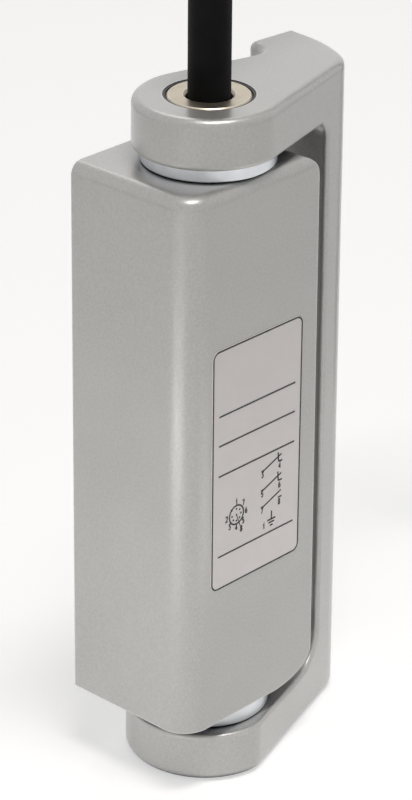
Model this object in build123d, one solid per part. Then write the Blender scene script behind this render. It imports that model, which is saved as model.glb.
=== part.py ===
from build123d import *
import math
import os

# Safety hinge switch with a hollow hinge axis, a cable and a round plug. Millimetres, +Z up.
# The origin is on the hinge axis at the underside of the lower lug. +X runs along the housing's front
# to the right, the front faces -Y, and the mounting faces point to +Y.

# Housing, measured from the hinge axis
housing_left = 16.6
housing_right = 13.7
housing_left_draft = 0.45
housing_right_draft = 0.65
housing_front = 11.6
mount_step = 0.85
housing_height = 96.2
housing_wall = 2.2
near_edge_radius = 5.0
top_edge_radius = 2.2
top_right_radius = 3.4
foot_corner_width = 10.0
foot_corner_height = 5.2

# Bracket, drawn with both mounting faces in one plane and then turned to its resting angle
resting_turn = 5.0
opening_angle = 180.0
head_lug_thickness = 8.5
foot_lug_thickness = 9.05
foot_barrel_radius = 13.65
barrel_draft = 1.25
head_tongue_reach = 12.3
foot_tongue_reach = 12.6
tongue_radius = 6.0
leaf_inner = 21.2
leaf_outer = 31.5
leaf_draft = 1.9
leaf_end_radius = 23.9
leaf_end_start = 10.0
head_front_slope = 20.0
foot_front_slope = 22.9
leaf_front_radius = 8.0
leaf_back_depth = 5.75
leaf_back_radius = 1.8
notch_radius = 3.0
window_top_radius = 3.0
window_foot_radius = 6.0
head_edge_radius = 1.4
foot_edge_radius = 1.8
window_edge_radius = 0.8
rim_end = 8.0

# Collars between lugs and housing
collar_radius = 11.0
head_collar_space = 2.45
foot_collar_space = 3.4
collar_gap = 0.15

# Hollow cable spindle and its bearing sleeve
spindle_radius = 7.0
spindle_bore = 3.8
spindle_depth = 12.0
spindle_chamfer = 0.4
sleeve_wall = 0.42
bearing_clearance = 0.03
press_clearance = 0.05

# Actuator shaft
shaft_radius = 5.0
shaft_head_radius = 7.0
shaft_head_height = 2.0
cam_seat_radius = 4.0
shaft_flat = 1.0
shaft_end_clearance = 0.4
bush_wall = 1.5
bush_length = 8.0
seal_length = 3.0
lock_pin_radius = 1.25
lock_pin_length = 20.0
lock_pin_depth = 0.6

# Cavity, back cover and its screws
foot_block = 19.8
head_block = 17.2
cover_thickness = 2.0
cover_ledge = 6.5
cover_side_ledge = 0.8
cover_gap = 0.15
gasket_thickness = 0.5
gasket_width = 0.6
cover_screw_radius = 1.25
cover_screw_head = 2.3
cover_screw_head_height = 1.2
cover_screw_length = 7.0
cover_screw_inset = 5.0

# Contact modules
module_count = 3
module_space = 2.0
module_head_room = 8.05
module_wall_height = 2.3
module_half_width = 7.5
block_inner = 8.3
block_front_wall = 1.5
block_side_wall = 1.0
insulation_thickness = 0.6
plunger_travel = 1.4
plunger_radius = 1.4
plunger_stem_radius = 0.7
plunger_stem_length = 1.0
plunger_clearance = 0.05
cam_radius = 6.0
cam_thickness = 4.0
cam_hub_radius = 5.2
strip_thickness = 0.4
strip_half_height = 1.2
strip_start = 3.2
strip_end = 8.8
bridge_thickness = 0.4
bridge_half_length = 5.2
bridge_half_height = 1.2
rivet_radius = 0.8
rivet_height = 0.3
rivet_place = 4.3
contact_gap = 0.05
spring_wire = 0.3
spring_radius = 1.3
spring_turns = 2.5
support_thickness = 3.0
support_gap = 0.15
wire_radius = 0.4
wire_spacing = 0.95
wire_side = 8.2
wire_bend = 0.6

# Fastening holes in the mounting faces
fixing_radius = 2.1
fixing_depth = 8.0
leaf_fixing_depth = 12.0
fixing_spacing_x = 17.0
fixing_inset = 8.1

# Label
label_width = 21.6
label_height = 43.6
label_thickness = 0.15
label_corner = 1.5
label_centre_x = -0.5
label_drop = 0.6

# Cable and plug
cable_radius = 3.5
clamp_length = 3.2
tail_drop = 0.6
plug_relief_length = 12.0
plug_relief_radius = 4.6
plug_grip_length = 19.0
plug_grip_radius = 6.6
plug_ribs = 12
plug_rib_height = 0.45
plug_neck_radius = 4.7
plug_neck_length = 3.0
nut_collar_length = 7.5
nut_collar_radius = 7.25
nut_thread_length = 9.0
nut_thread_radius = 6.0
nut_bore = 5.0
nut_gap = 0.3
nut_knurls = 24
insert_radius = 4.35
insert_length = 14.5
insert_socket_radius = 3.7
insert_socket_depth = 8.5
pin_radius = 0.4
pin_length = 7.5
pin_circle = 2.75

# The free cable's corner points: distance from the hinge axis along X, then height. The arch's heights
# count from the ring, and the landing's from the floor.
cable_arch = [
    (0.0, 0.0),
    (0.0, 27.0),
    (15.9, 48.8),
    (41.6, 57.1),
    (67.3, 48.8),
    (83.2, 27.0),
    (87.9, 0.4),
    (88.8, -26.6),
]
cable_landing = [
    (90.5, 67.4),
    (95.6, 43.0),
    (110.7, 20.5),
    (134.5, 7.7),
    (159.5, 7.7),
]

# Places worked out from the values above
mount_plane = foot_barrel_radius + mount_step
window_foot = foot_lug_thickness
housing_foot = window_foot + foot_collar_space
housing_top = housing_foot + housing_height
window_top = housing_top + head_collar_space
overall_height = window_top + head_lug_thickness
cavity_foot = housing_foot + foot_block
cavity_top = housing_top - head_block
cavity_left = -housing_left + housing_wall
cavity_right = housing_right - housing_wall
cavity_front = -housing_front + housing_wall
cover_face = mount_plane - cover_thickness
housing_middle_x = (housing_right - housing_left) / 2
housing_middle_z = (housing_foot + housing_top) / 2
cam_stack_foot = cavity_foot + support_gap
cam_stack_top = cavity_top - module_head_room
module_pitch = (cam_stack_top - cam_stack_foot) / module_count
module_height = module_pitch - module_space
fixing_spacing_z = housing_height - 2 * fixing_inset
label_centre_z = housing_middle_z - label_drop
lock_pin_height = (shaft_head_height + window_foot) / 2
cable_route = [(x, overall_height + z) for x, z in cable_arch] + cable_landing
module_heights = [cam_stack_foot + (i + 0.5) * module_pitch for i in range(module_count)]
travel_per_degree = plunger_travel / opening_angle


def block(x0, x1, y0, y1, z0, z1):
    """A box between two corners."""
    return Pos((x0 + x1) / 2, (y0 + y1) / 2, (z0 + z1) / 2) * Box(x1 - x0, y1 - y0, z1 - z0)


def disc(radius, z0, z1, x=0, y=0):
    """An upright cylinder between two heights."""
    return Pos(x, y, (z0 + z1) / 2) * Cylinder(radius, z1 - z0)


def tube(outer, inner, z0, z1):
    """An upright ring between two heights."""
    return disc(outer, z0, z1) - disc(inner, z0, z1)


def rod_x(radius, x0, x1, y=0, z=0):
    """A cylinder along X."""
    return Pos((x0 + x1) / 2, y, z) * Rot(0, 90, 0) * Cylinder(radius, x1 - x0)


def rod_y(radius, y0, y1, x=0, z=0):
    """A cylinder along Y."""
    return Pos(x, (y0 + y1) / 2, z) * Rot(90, 0, 0) * Cylinder(radius, y1 - y0)


def near(shape, x, y, z=0):
    """The vertex of a shape that is nearest to a point."""
    return shape.vertices().sort_by_distance(Vector(x, y, z))[0]


def at_rest(shape):
    """Turns a bracket piece from the closed position to its resting angle."""
    return Rot(0, 0, -resting_turn) * shape


def save(shape, name):
    os.makedirs("parts", exist_ok=True)
    export_step(shape, f"parts/{name}.step")


# Housing


def housing_body():
    """The outer form: a box with soft upper edges and a wide curved lower right corner."""
    front = make_face(Polyline(
        (-housing_left - housing_left_draft, housing_foot),
        (housing_right + housing_right_draft, housing_foot),
        (housing_right, housing_top),
        (-housing_left, housing_top),
        close=True,
    ))
    body = Pos(0, mount_plane, 0) * extrude(Plane.XZ * front, housing_front + mount_plane)
    upright = body.edges().sort_by_distance(Vector(-housing_left, -housing_front, housing_middle_z))[0]
    body = fillet(upright, near_edge_radius)
    top = body.faces().sort_by(Axis.Z)[-1]
    soft = top.edges().filter_by(lambda e: (e @ 0.5).X < housing_right - 0.1 and (e @ 0.5).Y < mount_plane - 0.1)
    body = fillet(soft, top_edge_radius)
    cx = housing_right - top_right_radius
    cz = housing_top - top_right_radius
    corner = block(cx, housing_right + 1, -20, 20, cz, housing_top + 1) - rod_y(top_right_radius, -21, 21, cx, cz)
    ex = housing_right + housing_right_draft - foot_corner_width
    ez = housing_foot + foot_corner_height
    oval = extrude(Plane.XZ * Pos(ex, ez) * Ellipse(foot_corner_width, foot_corner_height), 21, both=True)
    foot = block(ex, housing_right + 1, -20, 20, housing_foot - 1, ez) - oval
    return body - corner - foot


def housing_shell():
    body = housing_body()
    body -= block(cavity_left, cavity_right, cavity_front, mount_plane + 1, cavity_foot, cavity_top)
    body -= cover_space(0)
    body -= disc(spindle_radius + press_clearance, housing_top - spindle_depth - clamp_length, housing_top + 1)
    body -= disc(cable_radius + 0.7, cavity_top - 1, housing_top)
    body -= disc(shaft_radius + bush_wall + press_clearance, housing_foot - 1, cavity_foot + 1)
    for x in (-fixing_spacing_x / 2, fixing_spacing_x / 2):
        for z in (-fixing_spacing_z / 2, fixing_spacing_z / 2):
            hole = rod_y(fixing_radius, mount_plane - fixing_depth, mount_plane + 1)
            body -= Pos(housing_middle_x + x, 0, housing_middle_z + z) * hole
    for x, z in cover_screw_places():
        body -= rod_y(cover_screw_radius + press_clearance, mount_plane - cover_screw_length - 0.5, mount_plane, x, z)
    return body


def cover_space(gap):
    """The recess that takes the back cover, made smaller all round by a gap."""
    return block(
        cavity_left - cover_side_ledge + gap,
        cavity_right + cover_side_ledge - gap,
        cover_face - gasket_thickness if gap == 0 else cover_face,
        mount_plane,
        cavity_foot - cover_ledge + gap,
        cavity_top + cover_ledge - gap,
    )


def cover_screw_places():
    x0 = cavity_left - cover_side_ledge + cover_screw_inset
    x1 = cavity_right + cover_side_ledge - cover_screw_inset
    z0 = cavity_foot - cover_ledge / 2
    z1 = cavity_top + cover_ledge / 2
    return [(x, z) for x in (x0, x1) for z in (z0, z1)]


def back_cover():
    cover = cover_space(cover_gap)
    for x, z in cover_screw_places():
        cover -= rod_y(cover_screw_radius + 0.15, 0, mount_plane + 1, x, z)
        cover -= rod_y(cover_screw_head + 0.1, mount_plane - cover_screw_head_height, mount_plane + 1, x, z)
    return cover


def cover_gasket():
    """A flat seal on the ledge round the cavity."""
    outer = block(
        cavity_left - cover_side_ledge + cover_gap,
        cavity_right + cover_side_ledge - cover_gap,
        cover_face - gasket_thickness,
        cover_face,
        cavity_foot - gasket_width - 0.4,
        cavity_top + gasket_width + 0.4,
    )
    return outer - block(cavity_left, cavity_right, 0, mount_plane, cavity_foot, cavity_top)


def cover_screw():
    """A small pan screw with a cross recess, its head's face in the plane y = 0."""
    screw = rod_y(cover_screw_head, -cover_screw_head_height, 0)
    screw += rod_y(cover_screw_radius, -cover_screw_length, -cover_screw_head_height)
    arm = 2.4
    slot = 0.5
    screw -= block(-arm / 2, arm / 2, -0.7, 1, -slot / 2, slot / 2)
    screw -= block(-slot / 2, slot / 2, -0.7, 1, -arm / 2, arm / 2)
    return screw


def cover_screws():
    return Compound([Pos(x, mount_plane, z) * cover_screw() for x, z in cover_screw_places()])


def cable_spindle():
    foot = housing_top - spindle_depth
    spindle = tube(spindle_radius, spindle_bore, foot, overall_height)
    rims = spindle.edges().filter_by(GeomType.CIRCLE).group_by(Axis.Z)[-1]
    return chamfer(rims, spindle_chamfer)


def collar(z0, z1, inner):
    ring = tube(collar_radius, inner, z0 + collar_gap, z1 - collar_gap)
    rims = ring.edges().filter_by(lambda e: e.geom_type == GeomType.CIRCLE and e.radius > collar_radius - 0.1)
    return fillet(rims, 0.2)


def lower_bush():
    return tube(shaft_radius + bush_wall, shaft_radius + bearing_clearance, housing_foot, housing_foot + bush_length)


def shaft_seal():
    z0 = housing_foot + bush_length + 0.2
    outer = shaft_radius + bush_wall
    inner = shaft_radius + bearing_clearance
    ring = tube(outer, inner, z0, z0 + seal_length)
    groove = tube(outer + 1, outer - 0.4, z0 + 1.0, z0 + seal_length - 1.0)
    return ring - groove


def shaft_support():
    """The plate that carries the shaft's upper end, with two corners cut away for the wires."""
    z0 = cam_stack_top + support_gap
    plate = block(
        cavity_left + support_gap,
        cavity_right - support_gap,
        cavity_front + support_gap,
        cover_face - gasket_thickness - support_gap,
        z0,
        z0 + support_thickness,
    )
    plate -= disc(cam_seat_radius + bearing_clearance, z0 - 1, z0 + support_thickness + 1)
    for y0, y1 in ((-30, wire_radius * 1.5 - wire_side), (wire_side - wire_radius * 1.5, 30)):
        plate -= block(cavity_left - 1, tag_face() + 0.5, y0, y1, z0 - 1, z0 + support_thickness + 1)
    return plate


# Contact modules: each is drawn round height 0 and raised to its place


def block_back():
    return cavity_left + support_gap + insulation_thickness


def contact_block():
    back = block_back()
    front = -block_inner
    half = module_height / 2
    body = block(back, front, -module_half_width, module_half_width, -half, half)
    room = module_half_width - block_side_wall
    high = strip_half_height + module_wall_height
    body -= block(back - 1, front - block_front_wall, -room, room, -high, high)
    body -= rod_x(plunger_radius + plunger_clearance, -housing_left, 0)
    for side in (-1, 1):
        y0, y1 = sorted((side * strip_start, side * (module_half_width + 1)))
        x1 = -block_inner - block_front_wall
        high = strip_half_height + press_clearance
        body -= block(x1 - strip_thickness - press_clearance, x1, y0, y1, -high, high)
    return body


def tag_face():
    """The face of the contact strips that looks at the bridge."""
    return -block_inner - block_front_wall - press_clearance / 2 - strip_thickness


def fixed_contacts():
    """Two contact strips that pass out through the block's sides as solder tags."""
    x1 = tag_face() + strip_thickness
    strips = []
    for side in (-1, 1):
        y0, y1 = sorted((side * strip_start, side * strip_end))
        strip = block(x1 - strip_thickness, x1, y0, y1, -strip_half_height, strip_half_height)
        strips.append(strip)
    return Compound(strips)


def bridge_face():
    """Where the bridge's contact rivets meet the fixed strips."""
    return tag_face() - contact_gap


def bridge():
    x1 = bridge_face() - rivet_height
    plate = block(
        x1 - bridge_thickness, x1, -bridge_half_length, bridge_half_length, -bridge_half_height, bridge_half_height
    )
    plate -= rod_x(plunger_stem_radius + plunger_clearance, -housing_left, 0)
    for side in (-1, 1):
        plate += rod_x(rivet_radius, x1, x1 + rivet_height, side * rivet_place)
    return plate


def plunger():
    """A domed pin that the cam pushes, with a thin stem through the bridge into the spring."""
    tip = -cam_radius - plunger_clearance
    seat = bridge_face() - rivet_height
    end = seat - bridge_thickness - plunger_stem_length
    rise = 0.6
    dome = (plunger_radius ** 2 + rise ** 2) / (2 * rise)
    half = math.asin(plunger_radius / dome) / 2
    middle = (tip - dome * (1 - math.cos(half)), dome * math.sin(half))
    edge = Polyline((end, 0), (end, plunger_stem_radius), (seat, plunger_stem_radius), (seat, plunger_radius))
    edge += Line((seat, plunger_radius), (tip - rise, plunger_radius))
    edge += ThreePointArc((tip - rise, plunger_radius), middle, (tip, 0))
    edge += Line((tip, 0), (end, 0))
    return revolve(make_face(edge), Axis.X)


def wires():
    """Six insulated wires from the cable's end down both sides to the solder tags."""
    start = cavity_top - tail_drop
    strands = []
    for side in (-1, 1):
        for i, height in enumerate(module_heights):
            level = start - 1.2 - i * wire_spacing
            x0 = -2.4 + i * 1.2
            x1 = tag_face() - 0.6 - (module_count - 1 - i) * wire_spacing
            points = [
                Vector(x0, side * 1.2, start),
                Vector(x0, side * 1.2, level),
                Vector(x1, side * wire_side, level),
                Vector(x1, side * wire_side, height),
            ]
            path = FilletPolyline(*points, radius=wire_bend)
            strand = sweep(Plane(path @ 0, z_dir=path % 0) * Circle(wire_radius), path)
            foot = rod_x(wire_radius * 0.8, x1, tag_face(), side * wire_side, height + wire_radius)
            strands.append(strand + foot)
    return Compound(strands)


def contact_spring():
    """A coil spring between the bridge and the insulating plate."""
    x1 = bridge_face() - rivet_height - bridge_thickness - spring_wire / 2
    x0 = block_back() + spring_wire / 2
    length = x1 - x0
    path = Helix(length / spring_turns, length, spring_radius)
    wire = sweep(Plane(path @ 0, z_dir=path % 0) * Circle(spring_wire / 2), path, is_frenet=True)
    return Pos(x0, 0, 0) * Rot(0, 90, 0) * wire


def contact_cover():
    z0 = module_heights[0] - module_height / 2
    z1 = module_heights[-1] + module_height / 2
    x0 = cavity_left + support_gap
    return block(x0, x0 + insulation_thickness - 0.02, -module_half_width, module_half_width, z0, z1)


def cam_point(turned):
    """A point of the cam's edge, by how far the bracket has opened when it meets the plunger."""
    radius = cam_radius + travel_per_degree * turned
    angle = math.radians(180 + turned)
    return (radius * math.cos(angle), radius * math.sin(angle))


def cam():
    """A disc whose edge rises evenly over the hinge's range, with a hub that spaces it on the shaft."""
    start = -resting_turn - 10
    stop = opening_angle + 8
    steps = 8
    rise = [cam_point(start + (stop - start) * i / steps) for i in range(steps + 1)]
    low = cam_radius - 0.3
    middle = math.radians(180 + (start + stop) / 2 + 180)
    back = (low * math.cos(middle), low * math.sin(middle))
    edge = Spline(rise) + ThreePointArc(rise[-1], back, rise[0])
    body = extrude(make_face(edge), cam_thickness / 2, both=True)
    body += disc(cam_hub_radius, -module_pitch / 2 + 0.02, module_pitch / 2 - 0.02)
    bore = disc(cam_seat_radius + press_clearance, -module_pitch, module_pitch)
    flat = cam_seat_radius - shaft_flat + press_clearance
    bore -= block(flat, 10, -10, 10, -module_pitch, module_pitch)
    return body - bore


# Bracket


def bracket_outline(radius, reach, slope, shift):
    """The plan of bracket and lugs: a round barrel, a tapered tongue and the leaf's curved end."""
    inner = leaf_inner + shift
    outer = leaf_outer + shift
    front = math.radians(slope)
    # The front line cuts off a little of the barrel
    chord = math.sqrt(radius ** 2 - reach ** 2)
    fx = reach * math.sin(front) - chord * math.cos(front)
    fy = -reach * math.cos(front) - chord * math.sin(front)
    # The rear line runs from the leaf's corner and touches the barrel
    ny = mount_plane - leaf_back_depth
    touch = math.atan2(ny, inner) + math.acos(radius / math.hypot(inner, ny))
    rx = radius * math.cos(touch)
    ry = radius * math.sin(touch)
    cx = outer - leaf_end_radius
    cy = leaf_end_start
    # Where the tongue's front line meets the leaf's end arc
    ux = math.cos(front)
    uy = math.sin(front)
    along = (cx - fx) * ux + (cy - fy) * uy
    off = (cx - fx) ** 2 + (cy - fy) ** 2 - along ** 2
    length = along + math.sqrt(leaf_end_radius ** 2 - off)
    qx = fx + length * ux
    qy = fy + length * uy
    half = math.atan2(qy - cy, qx - cx) / 2
    mx = cx + leaf_end_radius * math.cos(half)
    my = cy + leaf_end_radius * math.sin(half)
    edge = [
        ThreePointArc((rx, ry), (-radius, 0), (fx, fy)),
        Line((fx, fy), (qx, qy)),
        ThreePointArc((qx, qy), (mx, my), (outer, cy)),
        Line((outer, cy), (outer, mount_plane)),
        Line((outer, mount_plane), (inner, mount_plane)),
        Line((inner, mount_plane), (inner, ny)),
        Line((inner, ny), (rx, ry)),
    ]
    face = make_face(edge)
    face = fillet(near(face, fx, fy), tongue_radius)
    face = fillet(near(face, qx, qy), leaf_front_radius)
    face = fillet(near(face, inner, ny), notch_radius)
    return fillet(near(face, inner, mount_plane), leaf_back_radius)


def window():
    """The opening of the C, as wide as the bracket is deep."""
    x0 = -foot_barrel_radius - 5
    x1 = leaf_inner + leaf_draft * (1 - window_foot / overall_height)
    x2 = leaf_inner + leaf_draft * (1 - window_top / overall_height)
    shape = make_face(Polyline(
        (x0, window_foot), (x1, window_foot), (x2, window_top), (x0, window_top), close=True,
    ))
    shape = fillet(near(shape, x1, window_foot), window_foot_radius)
    shape = fillet(near(shape, x2, window_top), window_top_radius)
    return extrude(Plane.XZ * shape, 30, both=True)


def soften_rim(body):
    """Rounds the rim of the C's opening, but for the corner behind the leaf."""
    high = overall_height + 1
    wide = 2 * leaf_outer
    rear = block(leaf_inner - rim_end, leaf_inner + leaf_draft + rim_end / 2, 0, mount_plane + 1, -1, high)
    corner = body - (block(-wide, wide, -wide, wide, -1, high) - rear)

    def on_rim(e):
        p = e @ 0.5
        level = window_foot - 0.1 < p.Z < window_top + 0.1
        return level and p.X < leaf_inner + leaf_draft and e.geom_type == GeomType.BSPLINE

    body -= rear
    return fillet(body.edges().filter_by(on_rim), window_edge_radius) + corner


def leaf_fixing_places():
    x = (leaf_inner + leaf_outer + leaf_draft) / 2
    return [(x, housing_middle_z + side * fixing_spacing_z / 2) for side in (-1, 1)]


def bracket():
    foot = bracket_outline(foot_barrel_radius, foot_tongue_reach, foot_front_slope, leaf_draft)
    head = bracket_outline(foot_barrel_radius - barrel_draft, head_tongue_reach, head_front_slope, 0)
    body = loft([foot, Pos(0, 0, overall_height) * head], ruled=True)
    top = body.faces().sort_by(Axis.Z)[-1].edges().filter_by(lambda e: (e @ 0.5).Y < mount_plane - 0.1)
    body = fillet(top, head_edge_radius)
    low = body.faces().sort_by(Axis.Z)[0].edges().filter_by(lambda e: (e @ 0.5).Y < mount_plane - 0.1)
    body = fillet(low, foot_edge_radius)
    body = soften_rim(body - window())
    body -= disc(spindle_radius + bearing_clearance + sleeve_wall + 0.02, window_top - 1, overall_height + 1)
    body -= disc(shaft_radius + press_clearance, -1, window_foot + 1)
    body -= disc(shaft_head_radius + press_clearance, -1, shaft_head_height + press_clearance)
    pin_end = foot_barrel_radius - lock_pin_depth
    body -= rod_y(lock_pin_radius + 0.02, pin_end - lock_pin_length, foot_barrel_radius + 1, 0, lock_pin_height)
    for x, z in leaf_fixing_places():
        body -= rod_y(fixing_radius, mount_plane - leaf_fixing_depth, mount_plane + 1, x, z)
    return at_rest(body)


def upper_bush():
    inner = spindle_radius + bearing_clearance
    return tube(inner + sleeve_wall, inner, window_top, overall_height - 0.1)


def actuator_shaft():
    top = cam_stack_top + support_gap + support_thickness + shaft_end_clearance
    body = disc(shaft_head_radius, 0, shaft_head_height)
    body += disc(shaft_radius, shaft_head_height, cavity_foot)
    seat = disc(cam_seat_radius, cavity_foot, top)
    seat -= block(cam_seat_radius - shaft_flat, 10, -10, 10, cavity_foot, cam_stack_top)
    body += seat
    return body - at_rest(rod_y(lock_pin_radius + 0.02, -10, 10, 0, lock_pin_height))


def lock_pin():
    """A slotted spring pin, pushed in from the back of the lower lug."""
    z = lock_pin_height
    y1 = foot_barrel_radius - lock_pin_depth
    pin = rod_y(lock_pin_radius, y1 - lock_pin_length, y1, 0, z)
    pin -= rod_y(lock_pin_radius * 0.6, -20, 20, 0, z)
    pin -= block(-0.2, 0.2, -20, 20, z, z + 3)
    return at_rest(pin)


# Label


def label_plate():
    face = RectangleRounded(label_width, label_height, label_corner)
    plate = extrude(Plane.XZ * face, label_thickness)
    return Pos(label_centre_x, -housing_front, label_centre_z) * plate


# Cable and plug


def route_radii(points):
    """The radius of each corner: 0.45 of the shorter run, divided by the tangent of half the turn."""
    radii = []
    for a, b, c in zip(points, points[1:], points[2:]):
        turn = math.radians((b - a).get_angle(c - b))
        radii.append(0.45 * min((b - a).length, (c - b).length) / math.tan(turn / 2))
    return radii


def cable():
    points = [Vector(out, 0, z) for out, z in cable_route]
    radii = route_radii(points)
    path = FilletPolyline(*points, radius=radii)
    section = Plane(path @ 0, z_dir=path % 0) * Circle(cable_radius)
    body = sweep(section, path)
    print("cable length", round(path.length, 1), "radii", [round(r, 1) for r in radii])
    print("volume ratio", round(body.volume / (math.pi * cable_radius ** 2 * path.length), 4))
    return body


def cable_tail():
    """The cable's stretch inside the spindle, down into the cavity."""
    return disc(cable_radius, cavity_top - tail_drop, overall_height)


def cable_clamp():
    z1 = housing_top - spindle_depth
    return tube(spindle_radius, cable_radius, z1 - clamp_length + 0.1, z1)


def plug_plane():
    """The plug's own plane: its origin is the cable's end, and its Z runs on along the cable."""
    out, z = cable_route[-1]
    return Plane(Vector(out, 0, z), z_dir=Vector(1, 0, 0))


relief_end = plug_relief_length
grip_end = relief_end + plug_grip_length
neck_end = grip_end + plug_neck_length
nut_start = grip_end + nut_gap
nut_collar_end = nut_start + nut_collar_length
nut_end = nut_collar_end + nut_thread_length


def plug_body():
    """The moulded grip, with a tapered cable relief and lengthwise ribs."""
    relief = loft([Circle(plug_relief_radius), Pos(0, 0, relief_end) * Circle(plug_grip_radius)])
    body = relief + disc(plug_grip_radius, relief_end, grip_end)
    body = fillet(body.edges().group_by(Axis.Z)[-1], 0.8)
    for i in range(plug_ribs):
        rib = block(plug_grip_radius - 1, plug_grip_radius + plug_rib_height, -0.6, 0.6, relief_end + 2, grip_end - 3)
        body += Rot(0, 0, 360 / plug_ribs * i) * rib
    for z in (3.5, 6.0, 8.5):
        body -= tube(plug_grip_radius + 1, plug_relief_radius + 0.1 * z, z, z + 1.1)
    body += disc(plug_neck_radius, grip_end, neck_end)
    return body


def coupling_nut():
    """The knurled ring with the plug's outer thread."""
    body = disc(nut_collar_radius, nut_start, nut_collar_end) + disc(nut_thread_radius, nut_collar_end, nut_end)
    for i in range(nut_knurls):
        groove = disc(0.55, nut_start - 1, nut_collar_end - 1.2, nut_collar_radius + 0.25)
        body -= Rot(0, 0, 360 / nut_knurls * i) * groove
    return body - disc(nut_bore, nut_start - 1, nut_end + 1)


def plug_insert():
    """The contact carrier with its keyed socket."""
    body = disc(insert_radius, neck_end, neck_end + insert_length)
    z1 = neck_end + insert_length
    body -= disc(insert_socket_radius, z1 - insert_socket_depth, z1 + 1)
    return body + block(insert_socket_radius - 0.9, insert_radius - 0.2, -0.7, 0.7, z1 - insert_socket_depth, z1)


def plug_pins():
    z0 = neck_end + insert_length - insert_socket_depth
    ring = 7
    pins = [disc(pin_radius, z0, z0 + pin_length)]
    for i in range(ring):
        angle = 2 * math.pi * (i + 0.5) / ring
        pins.append(disc(pin_radius, z0, z0 + pin_length, pin_circle * math.cos(angle), pin_circle * math.sin(angle)))
    return Compound([fillet(p.edges().group_by(Axis.Z)[-1], 0.2) for p in pins])


save(housing_shell(), "housing_shell")
save(back_cover(), "back_cover")
save(cover_gasket(), "cover_gasket")
save(cover_screws(), "cover_screws")
save(cable_spindle(), "cable_spindle")
save(collar(housing_top, window_top, spindle_radius + press_clearance), "upper_collar")
save(collar(window_foot, housing_foot, shaft_radius + 0.3), "lower_collar")
save(lower_bush(), "lower_bush")
save(shaft_seal(), "shaft_seal")
save(shaft_support(), "shaft_support")
save(contact_cover(), "contact_cover")
for number, height in enumerate(module_heights, 1):
    save(Pos(0, 0, height) * contact_block(), f"contact_block_{number}")
    save(Pos(0, 0, height) * fixed_contacts(), f"fixed_contacts_{number}")
    save(Pos(0, 0, height) * contact_spring(), f"contact_spring_{number}")
    save(Pos(0, 0, height) * plunger(), f"plunger_{number}")
    save(Pos(0, 0, height) * bridge(), f"bridge_{number}")
    save(Pos(0, 0, height) * cam(), f"cam_{number}")
save(bracket(), "bracket")
save(upper_bush(), "upper_bush")
save(actuator_shaft(), "actuator_shaft")
save(lock_pin(), "lock_pin")
save(label_plate(), "label_plate")
save(cable(), "cable")
save(cable_tail(), "cable_tail")
save(cable_clamp(), "cable_clamp")
save(wires(), "wires")
save(plug_plane().location * plug_body(), "plug_body")
save(plug_plane().location * coupling_nut(), "coupling_nut")
save(plug_plane().location * plug_insert(), "plug_insert")
save(plug_plane().location * plug_pins(), "plug_pins")
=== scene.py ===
"""Dresses the safety hinge switch: its finishes, the label's print, the cable and the studio."""
import math

import bmesh
import bpy
from bpy.props import FloatProperty, FloatVectorProperty, PointerProperty
from mathutils import Matrix, Vector


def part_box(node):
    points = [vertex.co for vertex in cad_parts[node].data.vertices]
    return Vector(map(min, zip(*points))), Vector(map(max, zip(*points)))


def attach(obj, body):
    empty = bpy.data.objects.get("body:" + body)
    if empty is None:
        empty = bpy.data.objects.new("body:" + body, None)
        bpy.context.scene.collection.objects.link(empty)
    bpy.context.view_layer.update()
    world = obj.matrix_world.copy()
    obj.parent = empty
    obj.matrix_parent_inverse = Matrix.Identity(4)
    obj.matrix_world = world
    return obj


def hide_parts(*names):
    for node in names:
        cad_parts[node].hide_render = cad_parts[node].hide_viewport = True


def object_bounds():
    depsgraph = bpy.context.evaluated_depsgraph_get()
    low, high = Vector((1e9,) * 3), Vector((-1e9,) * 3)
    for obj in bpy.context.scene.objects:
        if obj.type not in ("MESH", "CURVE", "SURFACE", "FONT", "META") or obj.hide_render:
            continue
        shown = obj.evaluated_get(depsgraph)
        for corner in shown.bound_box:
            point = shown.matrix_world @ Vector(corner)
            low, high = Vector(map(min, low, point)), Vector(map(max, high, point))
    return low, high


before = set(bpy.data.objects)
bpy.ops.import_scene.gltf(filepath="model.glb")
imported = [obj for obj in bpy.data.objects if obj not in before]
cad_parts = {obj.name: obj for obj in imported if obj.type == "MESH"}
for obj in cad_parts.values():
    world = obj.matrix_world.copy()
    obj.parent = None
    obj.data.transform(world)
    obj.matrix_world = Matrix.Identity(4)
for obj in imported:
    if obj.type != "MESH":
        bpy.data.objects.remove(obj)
cad_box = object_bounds()

bl_info = {
    "name": "Safety Hinge Switch",
    "version": (1, 0, 0),
    "blender": (4, 5, 0),
    "location": "View3D > Sidebar > Hinge Switch",
    "description": "Paints and dresses a safety hinge switch with its cable and label",
    "category": "Object",
}

# Metres, degrees and watts, except where a comment says otherwise
MM = 0.001
RING_TOP = 0.1196
FRONT = -0.0116

# The camera's angles, and where it has the ring's top: to its right, up from it and ahead of it
CAMERA_TURN = 47.21
CAMERA_TILT = 25.87
CAMERA_ROLL = 0.4725
RING_SEEN_AT = (0.000125, 0.0484363, 0.5096006)
# Its sensor in millimetres, and the picture's height and the focal length in pixels
SENSOR_HEIGHT = 24
PICTURE_HEIGHT = 800
FOCAL_PIXELS = 3223.3

# The cable's control points in millimetres: distance from the hinge axis along X, then height
CABLE_ROUTE = (
    (0.0, 119.6),
    (0.0, 133.2),
    (0.0, 146.6),
    (15.9, 168.4),
    (41.6, 176.7),
    (67.3, 168.4),
    (83.2, 146.6),
    (87.9, 120.0),
    (88.8, 93.0),
    (90.5, 67.4),
    (95.6, 43.0),
    (110.7, 20.5),
    (134.5, 7.7),
    (159.5, 7.7),
)

# The label's middle height, its print's margin and corner, and its digits' height, in millimetres
LABEL_MIDDLE = 59.95
PRINT_MARGIN = 0.2
PRINT_CORNER = 1.3
DIGIT_HEIGHT = 0.95
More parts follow.
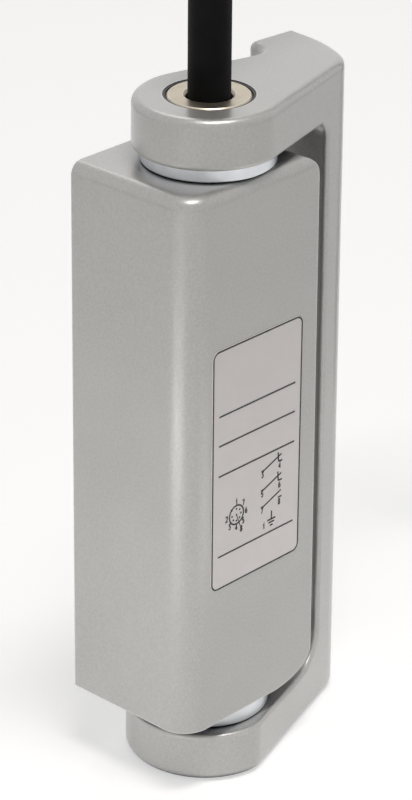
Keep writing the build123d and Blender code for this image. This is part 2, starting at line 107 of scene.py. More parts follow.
# The label's thickness, and how far the print stands proud of it
FOIL_THICKNESS = 0.00015
INK_LIFT = 0.00002
# Widths of finer lines, as shares of the printed lines' width
DIGIT_STROKE = 0.8
POINTER_STROKE = 0.6
# Each digit's line, across and up in a box of 1 by 1
DIGITS = {
    "1": ((0.3, 0.75), (0.55, 1.0), (0.55, 0.0)),
    "2": ((0.1, 0.8), (0.3, 1.0), (0.7, 1.0), (0.9, 0.75), (0.8, 0.5), (0.1, 0.0), (0.9, 0.0)),
    "3": ((0.1, 1.0), (0.85, 1.0), (0.45, 0.6), (0.8, 0.5), (0.9, 0.25), (0.65, 0.0), (0.1, 0.1)),
    "4": ((0.65, 0.0), (0.65, 1.0), (0.1, 0.35), (0.9, 0.35)),
    "5": ((0.85, 1.0), (0.2, 1.0), (0.15, 0.58), (0.6, 0.62), (0.88, 0.35), (0.65, 0.0), (0.1, 0.08)),
    "6": (
        (0.8, 0.95), (0.4, 0.9), (0.12, 0.4), (0.3, 0.02), (0.7, 0.02), (0.88, 0.3), (0.65, 0.55), (0.2, 0.5),
    ),
    "7": ((0.1, 1.0), (0.9, 1.0), (0.4, 0.0)),
    "8": (
        (0.5, 0.54), (0.2, 0.75), (0.35, 1.0), (0.65, 1.0), (0.8, 0.75), (0.5, 0.54), (0.12, 0.28),
        (0.3, 0.0), (0.7, 0.0), (0.88, 0.28), (0.5, 0.54),
    ),
}

# Weight of the paint's clear coat on open faces, and the colour of the painted highlight on metal pieces'
# edges
COAT = 0.6
METAL_EDGE_HIGHLIGHT = (0.9, 0.88, 0.84, 1)
# The upper lamps' colour, the floor's glow for the rays that see it, and the front fill lamp's power as a
# share of the left one's
WARM_WHITE = (1.0, 0.97, 0.93)
FLOOR_GLOW = 0.54
FRONT_FILL_SHARE = 0.2


# Sizes and colours


class CastingLook(bpy.types.PropertyGroup):
    """Colours and grain of the castings' paint, and the colours of its painted highlight and painted shade"""
    paint: FloatVectorProperty(
        name="Paint", description="Colour of the metallic paint", subtype="COLOR", size=3,
        min=0, max=1, default=(0.47, 0.465, 0.45),
    )
    shade: FloatVectorProperty(
        name="Shade", description="Darker tone of the paint's slow clouds", subtype="COLOR", size=3,
        min=0, max=1, default=(0.43, 0.428, 0.42),
    )
    # Painted highlight: the light colour mixed into the paint along edges; the paint's flakes take it too
    edge_highlight: FloatVectorProperty(
        name="Rim", description="Colour of the paint where it thins over an edge", subtype="COLOR", size=3,
        min=0, max=1, default=(0.80, 0.80, 0.80),
    )
    flake: FloatProperty(
        name="Flake size", description="Distance between the paint's sparkling grains", unit="LENGTH",
        min=0.00005, max=0.005, default=0.0004,
    )
    rim_width: FloatProperty(
        name="Rim width", description="Width of the bright line on edges", unit="LENGTH",
        min=0.0001, max=0.003, default=0.0005,
    )
    # Painted shade: the dark colour mixed into the paint deep in gaps, where shade falls
    painted_shade: FloatVectorProperty(
        name="Recess", description="Colour of the paint deep in gaps", subtype="COLOR", size=3,
        min=0, max=1, default=(0.03, 0.033, 0.045),
    )


class LabelLook(bpy.types.PropertyGroup):
    """Colours of the label and the width of its lines"""
    foil: FloatVectorProperty(
        name="Foil", description="Colour of the label's foil", subtype="COLOR", size=3,
        min=0, max=1, default=(0.90, 0.865, 0.865),
    )
    ink: FloatVectorProperty(
        name="Ink", description="Colour of the lines on the label", subtype="COLOR", size=3,
        min=0, max=1, default=(0.012, 0.012, 0.013),
    )
    line: FloatProperty(
        name="Line width", description="Width of the printed lines", unit="LENGTH",
        min=0.0001, max=0.001, default=0.0003,
    )


class CableLook(bpy.types.PropertyGroup):
    """Diameter and colour of the cable"""
    diameter: FloatProperty(
        name="Diameter", description="Outer diameter of the cable", unit="LENGTH",
        min=0.002, max=0.015, default=0.007,
    )
    jacket: FloatVectorProperty(
        name="Jacket", description="Colour of the cable's jacket", subtype="COLOR", size=3,
        min=0, max=1, default=(0.003, 0.003, 0.003),
    )


class StudioLook(bpy.types.PropertyGroup):
    """Colour of the floor and power of the lamps"""
    floor: FloatVectorProperty(
        name="Floor", description="Colour of the floor", subtype="COLOR", size=3,
        min=0, max=1, default=(0.86, 0.86, 0.86),
    )
    key: FloatProperty(
        name="Key light", description="Power of the lamp overhead in watts",
        min=0, max=100, default=4.6,
    )
    back: FloatProperty(
        name="Back light", description="Power of the lamp behind in watts",
        min=0, max=100, default=0.9,
    )
    fill: FloatProperty(
        name="Fill light", description="Power of the low lamp on the left in watts",
        min=0, max=100, default=0.11,
    )
    sky: FloatProperty(
        name="Sky", description="Strength of the light from all round",
        min=0, max=3, default=0.06,
    )


# Shader node groups and materials


def add_node(tree, kind, place=(0, 0), **values):
    """A new node; each value goes to the node's setting of that name, or else to its input."""
    node = tree.nodes.new(kind)
    node.location = place
    for name, value in values.items():
        if hasattr(node, name):
            setattr(node, name, value)
        else:
            node.inputs[name.replace("_", " ")].default_value = value
    return node


def math_node(tree, operation, first, second=None, clamp=False):
    node = tree.nodes.new("ShaderNodeMath")
    node.operation = operation
    node.use_clamp = clamp
    for socket, value in zip(node.inputs, (first, second)):
        if value is None:
            continue
        if isinstance(value, (int, float)):
            socket.default_value = value
        else:
            tree.links.new(value, socket)
    return node.outputs[0]


def mix_colour(tree, factor, a, b):
    node = tree.nodes.new("ShaderNodeMix")
    node.data_type = "RGBA"
    for socket, value in ((node.inputs[0], factor), (node.inputs[6], a), (node.inputs[7], b)):
        if isinstance(value, (int, float, tuple, list)):
            socket.default_value = value
        else:
            tree.links.new(value, socket)
    return node.outputs[2]


def new_group(name, inputs, outputs):
    """An empty shader group; inputs are (name, socket type, default), outputs (name, socket type)."""
    group = bpy.data.node_groups.new(name, "ShaderNodeTree")
    for label, kind, value in inputs:
        socket = group.interface.new_socket(name=label, in_out="INPUT", socket_type=kind)
        socket.default_value = value
    for label, kind in outputs:
        group.interface.new_socket(name=label, in_out="OUTPUT", socket_type=kind)
    start = add_node(group, "NodeGroupInput", (-900, 0))
    end = add_node(group, "NodeGroupOutput", (700, 0))
    return group, start, end


def edge_light_group():
    """A mask that is 1 on the outer edges of a solid and 0 on its faces, broken up by a fine noise; it lays
    painted highlights on edges.
    """
    group, start, end = new_group(
        "Painted edge highlight",
        [("Width", "NodeSocketFloat", 0.0005), ("Break", "NodeSocketFloat", 900.0)],
        [("Mask", "NodeSocketFloat")],
    )
    links = group.links
    bevel = add_node(group, "ShaderNodeBevel", (-600, 200), samples=4)
    links.new(start.outputs["Width"], bevel.inputs["Radius"])
    face = add_node(group, "ShaderNodeNewGeometry", (-600, 0))
    dot = group.nodes.new("ShaderNodeVectorMath")
    dot.operation = "DOT_PRODUCT"
    links.new(bevel.outputs["Normal"], dot.inputs[0])
    links.new(face.outputs["Normal"], dot.inputs[1])
    bend = math_node(group, "SUBTRACT", 1.0, dot.outputs["Value"], clamp=True)
    strong = math_node(group, "MULTIPLY", bend, 5.0, clamp=True)
    place = add_node(group, "ShaderNodeTexCoord", (-800, -200))
    noise = add_node(group, "ShaderNodeTexNoise", (-600, -200), Detail=2.0)
    links.new(place.outputs["Object"], noise.inputs["Vector"])
    links.new(start.outputs["Break"], noise.inputs["Scale"])
    uneven = math_node(group, "MULTIPLY_ADD", noise.outputs["Fac"], 0.6)
    uneven.node.inputs[2].default_value = 0.6
    links.new(math_node(group, "MULTIPLY", strong, uneven, clamp=True), end.inputs["Mask"])
    return group


def recess_group():
    """A mask for painted shade: 1 deep in gaps between pieces, where shade falls, and 0 on open faces."""
    group, start, end = new_group(
        "Painted recess shade", [("Reach", "NodeSocketFloat", 0.012)], [("Mask", "NodeSocketFloat")],
    )
    open_share = add_node(group, "ShaderNodeAmbientOcclusion", (-600, 0), samples=8)
    group.links.new(start.outputs["Reach"], open_share.inputs["Distance"])
    fade = add_node(group, "ShaderNodeMapRange", (-300, 0), interpolation_type="SMOOTHSTEP")
    for label, value in (("From Min", 0.2), ("From Max", 0.42), ("To Min", 1.0), ("To Max", 0.0)):
        fade.inputs[label].default_value = value
    group.links.new(open_share.outputs["AO"], fade.inputs["Value"])
    group.links.new(fade.outputs["Result"], end.inputs["Mask"])
    return group


def grain_group():
    """Fine grain and slow clouds, as values round 0.5, in the piece's own coordinates."""
    group, start, end = new_group(
        "Grain and clouds",
        [("Grain", "NodeSocketFloat", 0.0004), ("Cloud", "NodeSocketFloat", 0.015)],
        [("Grain", "NodeSocketFloat"), ("Cloud", "NodeSocketFloat"), ("Height", "NodeSocketFloat")],
    )
    links = group.links
    place = add_node(group, "ShaderNodeTexCoord", (-800, 0))
    fine_scale = math_node(group, "DIVIDE", 1.0, start.outputs["Grain"])
    slow_scale = math_node(group, "DIVIDE", 1.0, start.outputs["Cloud"])
    fine = add_node(group, "ShaderNodeTexNoise", (-400, 200), Detail=3.0, Roughness=0.6)
    slow = add_node(group, "ShaderNodeTexNoise", (-400, -200), Detail=4.0, Roughness=0.55)
    for node, scale in ((fine, fine_scale), (slow, slow_scale)):
        links.new(place.outputs["Object"], node.inputs["Vector"])
        links.new(scale, node.inputs["Scale"])
    links.new(fine.outputs["Fac"], end.inputs["Grain"])
    links.new(slow.outputs["Fac"], end.inputs["Cloud"])
    links.new(math_node(group, "ADD", fine.outputs["Fac"], slow.outputs["Fac"]), end.inputs["Height"])
    return group


def turned_group():
    """Fine turned rings round the piece's own Z axis as a height, and streaks as a mask."""
    group, start, end = new_group(
        "Turned rings",
        [("Pitch", "NodeSocketFloat", 0.0002), ("Streak", "NodeSocketFloat", 300.0)],
        [("Height", "NodeSocketFloat"), ("Mask", "NodeSocketFloat")],
    )
    full_turn = 6.2832
    links = group.links
    place = add_node(group, "ShaderNodeTexCoord", (-900, 0))
    split = add_node(group, "ShaderNodeSeparateXYZ", (-700, 0))
    links.new(place.outputs["Object"], split.inputs[0])
    x2 = math_node(group, "MULTIPLY", split.outputs["X"], split.outputs["X"])
    y2 = math_node(group, "MULTIPLY", split.outputs["Y"], split.outputs["Y"])
    radius = math_node(group, "SQRT", math_node(group, "ADD", x2, y2))
    along = math_node(group, "ADD", radius, split.outputs["Z"])
    lines = math_node(group, "DIVIDE", along, start.outputs["Pitch"])
    wave = math_node(group, "SINE", math_node(group, "MULTIPLY", lines, full_turn))
    noise = add_node(group, "ShaderNodeTexNoise", (-400, -200), Detail=3.0)
    links.new(place.outputs["Object"], noise.inputs["Vector"])
    links.new(start.outputs["Streak"], noise.inputs["Scale"])
    height = math_node(group, "MULTIPLY", math_node(group, "ADD", wave, 1.0), 0.5)
    links.new(height, end.inputs["Height"])
    links.new(noise.outputs["Fac"], end.inputs["Mask"])
    return group


def group_node(tree, name, **values):
    """A node of one of the shared groups, which is built when it is first asked for."""
    builders = {
        "Painted edge highlight": edge_light_group,
        "Painted recess shade": recess_group,
        "Grain and clouds": grain_group,
        "Turned rings": turned_group,
    }
    group = bpy.data.node_groups.get(name) or builders[name]()
    node = tree.nodes.new("ShaderNodeGroup")
    node.node_tree = group
    for label, value in values.items():
        node.inputs[label].default_value = value
    return node


def new_material(name, **constants):
    material = bpy.data.materials.new(name)
    material.use_nodes = True
    tree = material.node_tree
    shader = tree.nodes["Principled BSDF"]
    for label, value in constants.items():
        shader.inputs[label.replace("_", " ")].default_value = value
    return material, tree, shader


def bump(tree, shader, height, strength, distance):
    node = tree.nodes.new("ShaderNodeBump")
    node.inputs["Strength"].default_value = strength
    node.inputs["Distance"].default_value = distance
    tree.links.new(height, node.inputs["Height"])
    tree.links.new(node.outputs["Normal"], shader.inputs["Normal"])


def spread(tree, value, low, high):
    """Maps a value round 0.5 to a range."""
    node = tree.nodes.new("ShaderNodeMapRange")
    node.inputs["From Min"].default_value = 0.3
    node.inputs["From Max"].default_value = 0.7
    node.inputs["To Min"].default_value = low
    node.inputs["To Max"].default_value = high
    tree.links.new(value, node.inputs["Value"])
    return node.outputs["Result"]


def cast_paint(look):
    """The castings' metallic paint: grain and clouds, a painted highlight on edges, and painted shade in
    recesses, which also lose the clear coat.
    """
    material, tree, shader = new_material("cast_paint", Metallic=0.4, IOR=1.45, Coat_Roughness=0.2)
    grain = group_node(tree, "Grain and clouds", Grain=look.flake, Cloud=0.022)
    edge = group_node(tree, "Painted edge highlight", Width=look.rim_width)
    cloud = spread(tree, grain.outputs["Cloud"], 0.0, 1.0)
    clouds = mix_colour(tree, cloud, (*look.shade, 1), (*look.paint, 1))
    flakes = spread(tree, grain.outputs["Grain"], 0.0, 0.22)
    speckled = mix_colour(tree, flakes, clouds, (*look.edge_highlight, 1))
    # Painted highlight: a bright line on edges, mixed into the paint's colour
    edge_highlight = math_node(tree, "MULTIPLY", edge.outputs["Mask"], 0.8)
    bright = mix_colour(tree, edge_highlight, speckled, (*look.edge_highlight, 1))
    # Painted shade: deep in gaps the colour goes to near black and the clear coat is left off
    painted_shade = group_node(tree, "Painted recess shade")
    shaded = mix_colour(tree, painted_shade.outputs["Mask"], bright, (*look.painted_shade, 1))
    tree.links.new(shaded, shader.inputs["Base Color"])
    coat = math_node(tree, "MULTIPLY_ADD", painted_shade.outputs["Mask"], -COAT)
    coat.node.inputs[2].default_value = COAT
    tree.links.new(coat, shader.inputs["Coat Weight"])
    tree.links.new(spread(tree, grain.outputs["Grain"], 0.29, 0.37), shader.inputs["Roughness"])
    bump(tree, shader, grain.outputs["Height"], 0.2, 0.00005)
    return material


def plain_metal(name, colour, second_tone, roughness):
    """A turned metal with streaks of a duller tone and a painted highlight on its edges."""
    material, tree, shader = new_material(name, Metallic=1.0)
    rings = group_node(tree, "Turned rings")
    edge = group_node(tree, "Painted edge highlight", Width=0.0003)
    streak = spread(tree, rings.outputs["Mask"], 0.0, 1.0)
    streaks = mix_colour(tree, streak, (*colour, 1), (*second_tone, 1))
    # Painted highlight: edges turn to a light metal colour
    edged = mix_colour(tree, edge.outputs["Mask"], streaks, METAL_EDGE_HIGHLIGHT)
    tree.links.new(edged, shader.inputs["Base Color"])
    rough = spread(tree, rings.outputs["Mask"], roughness, roughness + 0.12)
    tree.links.new(rough, shader.inputs["Roughness"])
    bump(tree, shader, rings.outputs["Height"], 0.12, 0.00002)
    return material


def moulded(name, colour, lighter, roughness, grain=0.0003, depth=0.00004, specular=0.5):
    """Plastic, rubber, foil or ink with a fine skin and a slight painted highlight on its edges."""
    material, tree, shader = new_material(name, Metallic=0.0, Specular_IOR_Level=specular)
    skin = group_node(tree, "Grain and clouds", Grain=grain, Cloud=0.01)
    edge = group_node(tree, "Painted edge highlight", Width=0.0003)
    cloud = spread(tree, skin.outputs["Cloud"], 0.0, 1.0)
    tone = mix_colour(tree, cloud, (*colour, 1), (*lighter, 1))
    # Painted highlight: edges turn a little lighter
    edge_highlight = math_node(tree, "MULTIPLY", edge.outputs["Mask"], 0.4)
    second_tone = tuple(min(1.0, 1.6 * v + 0.03) for v in lighter)
    tree.links.new(mix_colour(tree, edge_highlight, tone, (*second_tone, 1)), shader.inputs["Base Color"])
    rough = spread(tree, skin.outputs["Grain"], roughness - 0.06, roughness + 0.06)
    tree.links.new(rough, shader.inputs["Roughness"])
    bump(tree, shader, skin.outputs["Height"], 0.3, depth)
    return material


def finish_nodes(names, material):
    """Gives CAD nodes a material."""
    for name in names:
        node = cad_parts[name]
        slots = node.material_slots
        if not slots:
            node.data.materials.append(material)
        for place in slots:
            place.material = material


def numbered(*names):
    """The names of pieces that come once for each of the three contact modules."""
    return [f"{name}_{i}" for name in names for i in (1, 2, 3)]


def new_piece(name, mesh, body, material):
    """Adds a mesh of the scene's own to a body of the part."""
    piece = bpy.data.objects.new(name, mesh)
    bpy.context.scene.collection.objects.link(piece)
    mesh.materials.append(material)
    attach(piece, body)
    return piece


# Camera and cable


class HINGESWITCH_OT_camera(bpy.types.Operator):
    """Places the camera at the photograph's viewing angle"""
    bl_idname = "hingeswitch.camera"
    bl_label = "Camera"

    def execute(self, context):
        turn = math.radians(CAMERA_TURN)
        tilt = math.radians(CAMERA_TILT)
        roll = math.radians(CAMERA_ROLL)
        # The camera's own axes, first with the picture level and then rolled
        right = Vector((math.cos(turn), -math.sin(turn), 0))
        away = Vector((math.sin(turn), math.cos(turn), 0))
        up = away * math.sin(tilt) + Vector((0, 0, math.cos(tilt)))
        view = away * math.cos(tilt) - Vector((0, 0, math.sin(tilt)))
        sideways, rise, distance = RING_SEEN_AT
        offset = right * sideways + up * rise + view * distance
        across = right * math.cos(roll) + up * math.sin(roll)
        upward = up * math.cos(roll) - right * math.sin(roll)
        camera = bpy.data.objects.new("camera", bpy.data.cameras.new("camera"))
        camera.data.sensor_fit = "VERTICAL"
        camera.data.sensor_height = SENSOR_HEIGHT
        camera.data.lens = SENSOR_HEIGHT * FOCAL_PIXELS / PICTURE_HEIGHT
        camera.data.clip_start = 0.01
        camera.data.clip_end = 20
        place = Matrix((across, upward, -view)).transposed().to_4x4()
        place.translation = Vector((0, 0, RING_TOP)) - offset
        camera.matrix_world = place
        context.scene.collection.objects.link(camera)
        context.scene.camera = camera
        return {"FINISHED"}


def route_point(out, height):
    return Vector((out, 0, height)) * MM


class HINGESWITCH_OT_cable(bpy.types.Operator):
    """Makes the free cable, from the ring over an arch down to its plug on the floor"""
    bl_idname = "hingeswitch.cable"
    bl_label = "Cable"

    def execute(self, context):
        look = context.scene.hingeswitch_cable
        curve = bpy.data.curves.new("cable_run", "CURVE")
        curve.dimensions = "3D"
        curve.bevel_depth = look.diameter / 2
        curve.bevel_resolution = 8
        curve.resolution_u = 24
        spline = curve.splines.new("NURBS")
        spline.points.add(len(CABLE_ROUTE) - 1)
        for point, corner in zip(spline.points, CABLE_ROUTE):
            point.co = (*route_point(*corner), 1)
        spline.order_u = 3
        spline.use_endpoint_u = True
        jacket = moulded("cable_jacket", look.jacket, (0.010, 0.010, 0.011), 0.6, grain=0.0005, specular=0.08)
        curve.materials.append(jacket)
        cable = bpy.data.objects.new("cable_run", curve)
        context.scene.collection.objects.link(cable)
        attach(cable, "housing")
        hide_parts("cable")
        finish_nodes(["cable_tail", "wires"], jacket)
        return {"FINISHED"}


# Castings, metal and plastic pieces


class HINGESWITCH_OT_castings(bpy.types.Operator):
    """Paints the housing, the bracket and the cover, and gives the collars their bright metal"""
    bl_idname = "hingeswitch.castings"
    bl_label = "Castings"

    def execute(self, context):
        paint = cast_paint(context.scene.hingeswitch_casting)
        finish_nodes(["housing_shell", "bracket", "back_cover"], paint)
        collar = plain_metal("collar_metal", (0.73, 0.75, 0.78), (0.61, 0.63, 0.66), 0.3)
        finish_nodes(["upper_collar", "lower_collar"], collar)
        return {"FINISHED"}


class HINGESWITCH_OT_metal(bpy.types.Operator):
    """Gives the spindle, nut, shaft, pins, screws, springs and contacts their metals"""
    bl_idname = "hingeswitch.metal"
    bl_label = "Metal pieces"

    def execute(self, context):
        nickel = plain_metal("nickel", (0.52, 0.46, 0.37), (0.44, 0.39, 0.31), 0.3)
        finish_nodes(["cable_spindle", "coupling_nut"], nickel)
        steel = plain_metal("steel", (0.52, 0.52, 0.51), (0.44, 0.44, 0.44), 0.32)
        pieces = ["actuator_shaft", "lock_pin", "cover_screws", "shaft_support"]
        finish_nodes(pieces + numbered("contact_spring"), steel)
        silver = plain_metal("contact_metal", (0.80, 0.66, 0.36), (0.70, 0.56, 0.30), 0.26)
        finish_nodes(["plug_pins"] + numbered("fixed_contacts", "bridge"), silver)
        return {"FINISHED"}


class HINGESWITCH_OT_plastic(bpy.types.Operator):
    """Gives the bushes, seals, cams, contact blocks and the plug their plastics and rubber"""
    bl_idname = "hingeswitch.plastic"
    bl_label = "Plastic and rubber pieces"

    def execute(self, context):
        black = moulded("black_bearing", (0.008, 0.008, 0.008), (0.014, 0.014, 0.014), 0.5)
        finish_nodes(["upper_bush", "lower_bush"] + numbered("cam"), black)
        rubber = moulded("seal_rubber", (0.012, 0.012, 0.012), (0.022, 0.022, 0.022), 0.7)
        finish_nodes(["cover_gasket", "shaft_seal", "cable_clamp"], rubber)
        dark = moulded("contact_carrier", (0.03, 0.03, 0.032), (0.05, 0.05, 0.052), 0.5)
        finish_nodes(["contact_cover", "plug_insert"] + numbered("contact_block", "plunger"), dark)
        grip = moulded(
            "plug_grip", (0.008, 0.008, 0.009), (0.016, 0.016, 0.017), 0.5, grain=0.0006, depth=0.00008,
        )
        finish_nodes(["plug_body"], grip)
        return {"FINISHED"}


# Label


def label_point(x, z):
    """A place on the print, in millimetres along X and up from the label's middle height."""
    return Vector((x * MM, FRONT - FOIL_THICKNESS - INK_LIFT, (LABEL_MIDDLE + z) * MM))


def stroke(mesh, points, width, closed=False):
    """A flat line of even width through points (x, z), in millimetres from the label's middle height."""
    # Keeps the outside of a sharp bend from running out into a spike
    sharpest = 0.3
    count = len(points)
    half = width / 2 / MM
    rims = []
    for i, (x, z) in enumerate(points):
        before = points[i - 1] if i or closed else points[i]
        after = points[(i + 1) % count] if i + 1 < count or closed else points[i]
        a = Vector((x - before[0], z - before[1]))
        b = Vector((after[0] - x, after[1] - z))
        a = a.normalized() if a.length else b.normalized()
        b = b.normalized() if b.length else a
        middle = (a + b).normalized()
        reach = half / max(sharpest, middle.dot(a))
        side = Vector((-middle.y, middle.x)) * reach
        low = mesh.verts.new(label_point(x - side.x, z - side.y))
        high = mesh.verts.new(label_point(x + side.x, z + side.y))
        rims.append((low, high))
    pairs = list(zip(rims, rims[1:]))
    if closed:
        pairs.append((rims[-1], rims[0]))
    for (a, b), (c, d) in pairs:
        mesh.faces.new((a, c, d, b))


def spot(mesh, x, z, radius):
    """A filled round spot."""
    sides = 14
    ring = []
    for i in range(sides):
        angle = 2 * math.pi * i / sides
        place = label_point(x + radius * math.cos(angle), z + radius * math.sin(angle))
        ring.append(mesh.verts.new(place))
    mesh.faces.new(ring)


def arc(x, z, radius, start, stop, steps):
    """Points along an arc about (x, z), from one angle to another."""
    angles = [math.radians(start + (stop - start) * i / steps) for i in range(steps + 1)]
    return [(x + radius * math.cos(a), z + radius * math.sin(a)) for a in angles]


def digit(mesh, figure, x, z, line):
    """A plain digit, centred on a place on the label."""
    across = DIGIT_HEIGHT * 0.55
    points = [(x + (u - 0.5) * across, z + (v - 0.5) * DIGIT_HEIGHT) for u, v in DIGITS[figure]]
    stroke(mesh, points, line * DIGIT_STROKE)


def border_and_rules(mesh, line):
    """A rounded border just inside the label's edge, and the lines that divide the label."""
    low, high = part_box("label_plate")
    x0, x1 = low[0] / MM + PRINT_MARGIN, high[0] / MM - PRINT_MARGIN
    z0, z1 = low[2] / MM + PRINT_MARGIN - LABEL_MIDDLE, high[2] / MM - PRINT_MARGIN - LABEL_MIDDLE
    r = PRINT_CORNER
    border = []
    for i, (x, z) in enumerate(((x1 - r, z1 - r), (x0 + r, z1 - r), (x0 + r, z0 + r), (x1 - r, z0 + r))):
        border += arc(x, z, r, 90 * i, 90 * (i + 1), 8)
    stroke(mesh, border, line, closed=True)
    for z in (10.0, 4.7, -0.8, -15.65):
        stroke(mesh, [(-9.7, z), (8.7, z)], line)


def switch_symbol(mesh, x, z, figures, opens, line):
    """One switching contact with its two terminal digits."""
    stroke(mesh, [(x, z), (x + 0.6, z), (x + 4.9, z + 1.6)], line)
    stroke(mesh, [(x + 4.2, z + 0.4), (x + 5.1, z + 0.4)], line)
    if opens:
        stroke(mesh, [(x + 4.2, z + 0.4), (x + 4.05, z + 2.1)], line)
    digit(mesh, figures[0], x + 0.25, z - 0.7, line)
    digit(mesh, figures[1], x + 4.5, z - 0.45, line)


def earth_symbol(mesh, line):
    """The earth sign under the contacts, with its terminal's digit."""
    x = 3.35
    stroke(mesh, [(x, -11.8), (x, -13.35)], line)
    for z, half in ((-13.37, 1.0), (-13.9, 0.7), (-14.47, 0.35)):
        stroke(mesh, [(x - half, z), (x + half, z)], line)
    digit(mesh, "1", 1.5, -14.1, line)


def pin_plan(mesh, line):
    """The plug's pin plan: its outline and key, seven pins on a ring, one in the middle, and their digits."""
    x, z = -5.3, -9.3
    pin_spot = 0.19
    key_spot = 0.24
    pin_ring = 1.08
    digit_ring = 2.35
    stroke(mesh, arc(x, z, 1.7, 0, 348.75, 31), line, closed=True)
    spot(mesh, x, z, pin_spot)
    spot(mesh, x - 1.2, z + 1.2, key_spot)
    for i, figure in enumerate("1765432"):
        angle = math.radians(90 - 45 * i)
        across, upward = math.cos(angle), math.sin(angle)
        spot(mesh, x + pin_ring * across, z + pin_ring * upward, pin_spot)
        digit(mesh, figure, x + digit_ring * across, z + digit_ring * upward, line)
    stroke(mesh, [(x, z), (x + 0.95, z - 2.4)], line * POINTER_STROKE)
    digit(mesh, "8", x + 1.2, z - 2.98, line)


class HINGESWITCH_OT_label(bpy.types.Operator):
    """Prints plain line symbols on the label: contacts, earth, the plug's pin plan and dividing lines"""
    bl_idname = "hingeswitch.label"
    bl_label = "Label"

    def execute(self, context):
        look = context.scene.hingeswitch_label
        lighter = tuple(v * 1.04 for v in look.foil)
        foil = moulded("label_foil", look.foil, lighter, 0.42, grain=0.0006, depth=0.00001)
        finish_nodes(["label_plate"], foil)
        mesh = bmesh.new()
        border_and_rules(mesh, look.line)
        for z, figures, opens in ((-3.6, "34", True), (-7.15, "56", True), (-10.3, "78", False)):
            switch_symbol(mesh, 0.7, z, figures, opens, look.line)
        earth_symbol(mesh, look.line)
        pin_plan(mesh, look.line)
        data = bpy.data.meshes.new("label_print")
        mesh.to_mesh(data)
        mesh.free()
        ink = moulded("label_ink", look.ink, tuple(v * 1.5 for v in look.ink), 0.5, depth=0.000005)
        new_piece("label_print", data, "housing", ink)
        return {"FINISHED"}


# Studio


def lamp(name, place, aim, size, power, colour, shines=True):
    """A soft rectangular lamp that the camera doesn't see; one that doesn't shine makes no reflection."""
    data = bpy.data.lights.new(name, "AREA")
    data.shape = "RECTANGLE"
    data.size = size[0]
    data.size_y = size[1]
    data.energy = power
    data.color = colour
    light = bpy.data.objects.new(name, data)
    light.location = place
    light.visible_camera = False
    light.visible_glossy = shines
    light.rotation_euler = (Vector(aim) - Vector(place)).to_track_quat("-Z", "Y").to_euler()
    bpy.context.scene.collection.objects.link(light)


def seen_rays(tree):
    """1 for the rays that show the background: the camera's, and those of reflections and glass."""
    path = add_node(tree, "ShaderNodeLightPath")
    seen = math_node(tree, "MAXIMUM", path.outputs["Is Camera Ray"], path.outputs["Is Glossy Ray"])
    return math_node(tree, "MAXIMUM", seen, path.outputs["Is Transmission Ray"])


def floor_material(colour):
    """A pale floor that the camera sees as white outside the object's shadow."""
    material, tree, shader = new_material("studio_floor", Base_Color=(*colour, 1), Roughness=0.9)
    output = tree.nodes["Material Output"]
    seen = seen_rays(tree)
    glow = add_node(tree, "ShaderNodeEmission", Color=(1, 1, 1, 1), Strength=FLOOR_GLOW)
    add = tree.nodes.new("ShaderNodeAddShader")
    mix = tree.nodes.new("ShaderNodeMixShader")
    tree.links.new(shader.outputs[0], add.inputs[0])
    tree.links.new(glow.outputs[0], add.inputs[1])
    tree.links.new(seen, mix.inputs[0])
    tree.links.new(shader.outputs[0], mix.inputs[1])
    tree.links.new(add.outputs[0], mix.inputs[2])
    tree.links.new(mix.outputs[0], output.inputs["Surface"])
    return material


def studio_world(sky):
    """Faint light from all round, which the camera sees as plain white."""
    world = bpy.data.worlds.new("studio")
    world.use_nodes = True
    tree = world.node_tree
    seen = seen_rays(tree)
    background = tree.nodes["Background"]
    background.inputs["Color"].default_value = (1, 1, 1, 1)
    strength = tree.nodes.new("ShaderNodeMix")
    strength.inputs[2].default_value = sky
    strength.inputs[3].default_value = 1.0
    tree.links.new(seen, strength.inputs[0])
    tree.links.new(strength.outputs[0], background.inputs["Strength"])
    return world


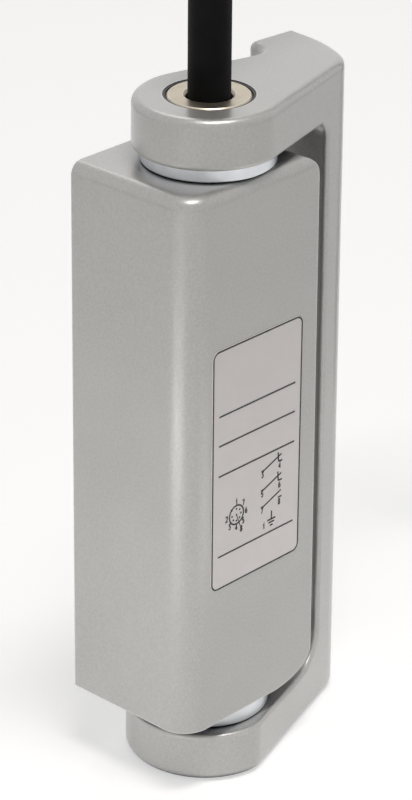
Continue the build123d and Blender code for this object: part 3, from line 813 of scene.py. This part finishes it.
class HINGESWITCH_OT_stage(bpy.types.Operator):
    """Sets up the pale floor, the white surroundings and the soft lamps"""
    bl_idname = "hingeswitch.stage"
    bl_label = "Studio"

    def execute(self, context):
        look = context.scene.hingeswitch_studio
        scene = context.scene
        mesh = bmesh.new()
        bmesh.ops.create_grid(mesh, x_segments=1, y_segments=1, size=4)
        data = bpy.data.meshes.new("studio_floor")
        mesh.to_mesh(data)
        mesh.free()
        data.materials.append(floor_material(look.floor))
        floor = bpy.data.objects.new("studio_floor", data)
        floor.location = (0, 0, cad_box[0][2])
        scene.collection.objects.link(floor)
        scene.world = studio_world(look.sky)

        middle = (0, 0, 0.06)
        foot = (0, 0, 0.02)
        lamp("key", (-0.08, -0.24, 1.08), middle, (0.4, 0.2), look.key, WARM_WHITE)
        lamp("back", (0.4, 0.5, 0.9), middle, (0.4, 0.4), look.back, WARM_WHITE)
        lamp(
            "fill_left", (-0.165, -0.03, 0.012), foot, (0.1, 0.02),
            look.fill, (1.0, 0.98, 0.95), shines=False,
        )
        lamp(
            "fill_front", (0.04, -0.115, 0.01), foot, (0.08, 0.02),
            FRONT_FILL_SHARE * look.fill, (1, 0.99, 0.98), shines=False,
        )
        scene.view_settings.view_transform = "Standard"
        return {"FINISHED"}


class HINGESWITCH_PT_panel(bpy.types.Panel):
    """Shows a button for each step and the settings of each look"""
    bl_idname = "HINGESWITCH_PT_panel"
    bl_label = "Hinge Switch"
    bl_space_type = "VIEW_3D"
    bl_region_type = "UI"
    bl_category = "Hinge Switch"

    def draw(self, context):
        layout = self.layout
        for operator in OPERATORS:
            layout.operator(operator.bl_idname)
        for name, group in GROUPS.items():
            box = layout.box()
            for field in group.__annotations__:
                box.prop(getattr(context.scene, name), field)


GROUPS = {
    "hingeswitch_casting": CastingLook,
    "hingeswitch_label": LabelLook,
    "hingeswitch_cable": CableLook,
    "hingeswitch_studio": StudioLook,
}
OPERATORS = (
    HINGESWITCH_OT_camera,
    HINGESWITCH_OT_cable,
    HINGESWITCH_OT_castings,
    HINGESWITCH_OT_metal,
    HINGESWITCH_OT_plastic,
    HINGESWITCH_OT_label,
    HINGESWITCH_OT_stage,
)


def register():
    for group in GROUPS.values():
        bpy.utils.register_class(group)
    for name, group in GROUPS.items():
        setattr(bpy.types.Scene, name, PointerProperty(type=group))
    for operator in (*OPERATORS, HINGESWITCH_PT_panel):
        bpy.utils.register_class(operator)


def unregister():
    for operator in reversed((*OPERATORS, HINGESWITCH_PT_panel)):
        bpy.utils.unregister_class(operator)
    for name in GROUPS:
        delattr(bpy.types.Scene, name)
    for group in GROUPS.values():
        bpy.utils.unregister_class(group)


def main():
    register()
    bpy.ops.hingeswitch.camera()
    bpy.ops.hingeswitch.cable()
    bpy.ops.hingeswitch.castings()
    bpy.ops.hingeswitch.metal()
    bpy.ops.hingeswitch.plastic()
    bpy.ops.hingeswitch.label()
    bpy.ops.hingeswitch.stage()


if __name__ == "__main__":
    main()
